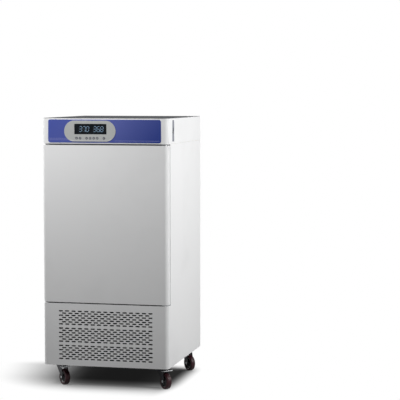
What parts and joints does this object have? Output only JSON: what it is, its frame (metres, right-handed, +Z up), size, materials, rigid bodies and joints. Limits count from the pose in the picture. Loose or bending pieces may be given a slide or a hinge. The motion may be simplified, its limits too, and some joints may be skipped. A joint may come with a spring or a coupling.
{
  "type": "bacteriological incubator",
  "caption": "Floor-standing bacteriological incubator cabinet on casters, with an insulated hinged door, an inner glass door, sliding shelves, a control head and a slotted base.",
  "frame": {"origin": "on the floor, under the middle of the cabinet", "axes": "+Z up, -Y out of the door, +X to the right of a person who faces the door"},
  "size_m": [0.6034, 0.6607, 1.256],
  "materials": {
    "white_paint": "semi-gloss powder coat, slightly orange-peeled",
    "dark_paint": "satin dark grey paint",
    "blue_panel": "printed film on a flat panel",
    "silver_bezel": "silver lacquer",
    "display_lens": "dark clear lens",
    "key_plastic": "fine matt",
    "circuit_board": "solder mask",
    "grey_plastic": "fine matt",
    "black_plastic": "fine matt",
    "insulation_foam": "cut foam",
    "white_plastic": "vacuum formed, satin",
    "seal_rubber": "soft matt",
    "zinc_steel": "zinc plated",
    "stainless_steel": "fine brushed",
    "glass": "clear",
    "glass_seal_rubber": "soft matt",
    "coil_fins": "rolled fins",
    "compressor_paint": "black enamel",
    "wheel_tread": "smooth moulded tread"
  },
  "bodies": {
    "cabinet": {"air_duct_panel": "stainless_steel", "base_front_panel": "white_paint", "base_tray": "zinc_steel", "cabinet_insulation": "insulation_foam", "caster_mount_front_left": "zinc_steel", "caster_mount_front_right": "zinc_steel", "caster_mount_rear_left": "zinc_steel", "caster_mount_rear_right": "zinc_steel", "chamber_liner": "stainless_steel", "compressor": "compressor_paint", "condenser": "coil_fins", "condenser_shroud": "black_plastic", "control_fascia": "blue_panel", "controller_board": "circuit_board", "display_bezel": "silver_bezel", "display_window": "display_lens", "door_hinge_bottom": "zinc_steel", "door_hinge_top": "zinc_steel", "evaporator": "coil_fins", "fan_motor": "zinc_steel", "head_shell": "white_paint", "heater": "zinc_steel", "mouth_frame": "white_plastic", "outer_case": "white_paint", "power_inlet": "black_plastic", "rear_service_cover": "white_paint", "shelf_ladder_left": "stainless_steel", "shelf_ladder_right": "stainless_steel", "switch_plate": "grey_plastic", "top_plate": "dark_paint"},
    "door": {"door_skin": "white_paint", "door_insulation": "insulation_foam", "door_liner": "white_plastic", "door_gasket": "seal_rubber"},
    "glass_door": {"glass_pane": "glass", "glass_seal": "glass_seal_rubber", "glass_hinge_profile": "stainless_steel", "glass_knob": "stainless_steel"},
    "upper_shelf": {"shelf_upper": "stainless_steel"},
    "lower_shelf": {"shelf_lower": "stainless_steel"},
    "circulation_fan": {"circulation_fan": "black_plastic"},
    "condenser_fan": {"condenser_fan": "black_plastic"},
    "rocker": {"power_rocker": "black_plastic"},
    "key_1": {"key_1": "key_plastic"},
    "key_2": {"key_2": "key_plastic"},
    "key_3": {"key_3": "key_plastic"},
    "key_4": {"key_4": "key_plastic"},
    "key_5": {"key_5": "key_plastic"},
    "key_6": {"key_6": "key_plastic"},
    "key_7": {"key_7": "key_plastic"},
    "fork_front_left": {"caster_fork_front_left": "zinc_steel"},
    "wheel_front_left": {"caster_wheel_front_left": "wheel_tread"},
    "pedal_front_left": {"brake_pedal_front_left": "zinc_steel"},
    "fork_front_right": {"caster_fork_front_right": "zinc_steel"},
    "wheel_front_right": {"caster_wheel_front_right": "wheel_tread"},
    "pedal_front_right": {"brake_pedal_front_right": "zinc_steel"},
    "fork_rear_left": {"caster_fork_rear_left": "zinc_steel"},
    "wheel_rear_left": {"caster_wheel_rear_left": "wheel_tread"},
    "fork_rear_right": {"caster_fork_rear_right": "zinc_steel"},
    "wheel_rear_right": {"caster_wheel_rear_right": "wheel_tread"}
  },
  "joints": [
    {"name": "door_hinge", "type": "hinge", "parent": "cabinet", "child": "door", "pos_m": [0.285, -0.3105, 0.401], "axis": [0, 0, 1], "range_deg": [0, 115]},
    {"name": "glass_door_hinge", "type": "hinge", "parent": "cabinet", "child": "glass_door", "pos_m": [0.2495, -0.2765, 0.44], "axis": [0, 0, 1], "range_deg": [0, 101]},
    {"name": "upper_shelf_slide", "type": "slide", "parent": "cabinet", "child": "upper_shelf", "axis": [0, -1, 0], "range_m": [0, 0.03]},
    {"name": "lower_shelf_slide", "type": "slide", "parent": "cabinet", "child": "lower_shelf", "axis": [0, -1, 0], "range_m": [0, 0.03]},
    {"name": "circulation_fan_spin", "type": "hinge", "parent": "cabinet", "child": "circulation_fan", "pos_m": [0, 0.199, 0.972], "axis": [0, 1, 0], "continuous": true},
    {"name": "condenser_fan_spin", "type": "hinge", "parent": "cabinet", "child": "condenser_fan", "pos_m": [0.06, -0.1997, 0.2218], "axis": [0, 1, 0], "continuous": true},
    {"name": "power_rocker_tilt", "type": "hinge", "parent": "cabinet", "child": "rocker", "pos_m": [0.2965, -0.2285, 1.197], "axis": [0, 1, 0], "range_deg": [0, 18]},
    {"name": "key_1_press", "type": "slide", "parent": "cabinet", "child": "key_1", "axis": [0, 1, 0], "range_m": [0, 0.0005], "stiffness_N_per_m": 600},
    {"name": "key_2_press", "type": "slide", "parent": "cabinet", "child": "key_2", "axis": [0, 1, 0], "range_m": [0, 0.0005], "stiffness_N_per_m": 600},
    {"name": "key_3_press", "type": "slide", "parent": "cabinet", "child": "key_3", "axis": [0, 1, 0], "range_m": [0, 0.0005], "stiffness_N_per_m": 600},
    {"name": "key_4_press", "type": "slide", "parent": "cabinet", "child": "key_4", "axis": [0, 1, 0], "range_m": [0, 0.0005], "stiffness_N_per_m": 600},
    {"name": "key_5_press", "type": "slide", "parent": "cabinet", "child": "key_5", "axis": [0, 1, 0], "range_m": [0, 0.0005], "stiffness_N_per_m": 600},
    {"name": "key_6_press", "type": "slide", "parent": "cabinet", "child": "key_6", "axis": [0, 1, 0], "range_m": [0, 0.0005], "stiffness_N_per_m": 600},
    {"name": "key_7_press", "type": "slide", "parent": "cabinet", "child": "key_7", "axis": [0, 1, 0], "range_m": [0, 0.0005], "stiffness_N_per_m": 600},
    {"name": "swivel_front_left", "type": "hinge", "parent": "cabinet", "child": "fork_front_left", "pos_m": [-0.2455, -0.2345, 0.105], "axis": [0, 0, 1], "continuous": true},
    {"name": "roll_front_left", "type": "hinge", "parent": "fork_front_left", "child": "wheel_front_left", "pos_m": [-0.22049, -0.2604, 0.0375], "axis": [0.7193, 0.6947, 0], "continuous": true},
    {"name": "brake_front_left", "type": "hinge", "parent": "fork_front_left", "child": "pedal_front_left", "pos_m": [-0.22744, -0.2532, 0.0845], "axis": [0.7193, 0.6947, 0], "range_deg": [0, 14]},
    {"name": "swivel_front_right", "type": "hinge", "parent": "cabinet", "child": "fork_front_right", "pos_m": [0.2455, -0.2345, 0.105], "axis": [0, 0, 1], "continuous": true},
    {"name": "roll_front_right", "type": "hinge", "parent": "fork_front_right", "child": "wheel_front_right", "pos_m": [0.27051, -0.2604, 0.0375], "axis": [0.7193, 0.6947, 0], "continuous": true},
    {"name": "brake_front_right", "type": "hinge", "parent": "fork_front_right", "child": "pedal_front_right", "pos_m": [0.26356, -0.2532, 0.0845], "axis": [0.7193, 0.6947, 0], "range_deg": [0, 14]},
    {"name": "swivel_rear_left", "type": "hinge", "parent": "cabinet", "child": "fork_rear_left", "pos_m": [-0.2455, 0.2425, 0.105], "axis": [0, 0, 1], "continuous": true},
    {"name": "roll_rear_left", "type": "hinge", "parent": "fork_rear_left", "child": "wheel_rear_left", "pos_m": [-0.22049, 0.2166, 0.0375], "axis": [0.7193, 0.6947, 0], "continuous": true},
    {"name": "swivel_rear_right", "type": "hinge", "parent": "cabinet", "child": "fork_rear_right", "pos_m": [0.2455, 0.2425, 0.105], "axis": [0, 0, 1], "continuous": true},
    {"name": "roll_rear_right", "type": "hinge", "parent": "fork_rear_right", "child": "wheel_rear_right", "pos_m": [0.27051, 0.2166, 0.0375], "axis": [0.7193, 0.6947, 0], "continuous": true}
  ],
  "couplings": [
    {"joint": "glass_door_hinge", "follows": "door_hinge", "ratio": 0.87}
  ]
}
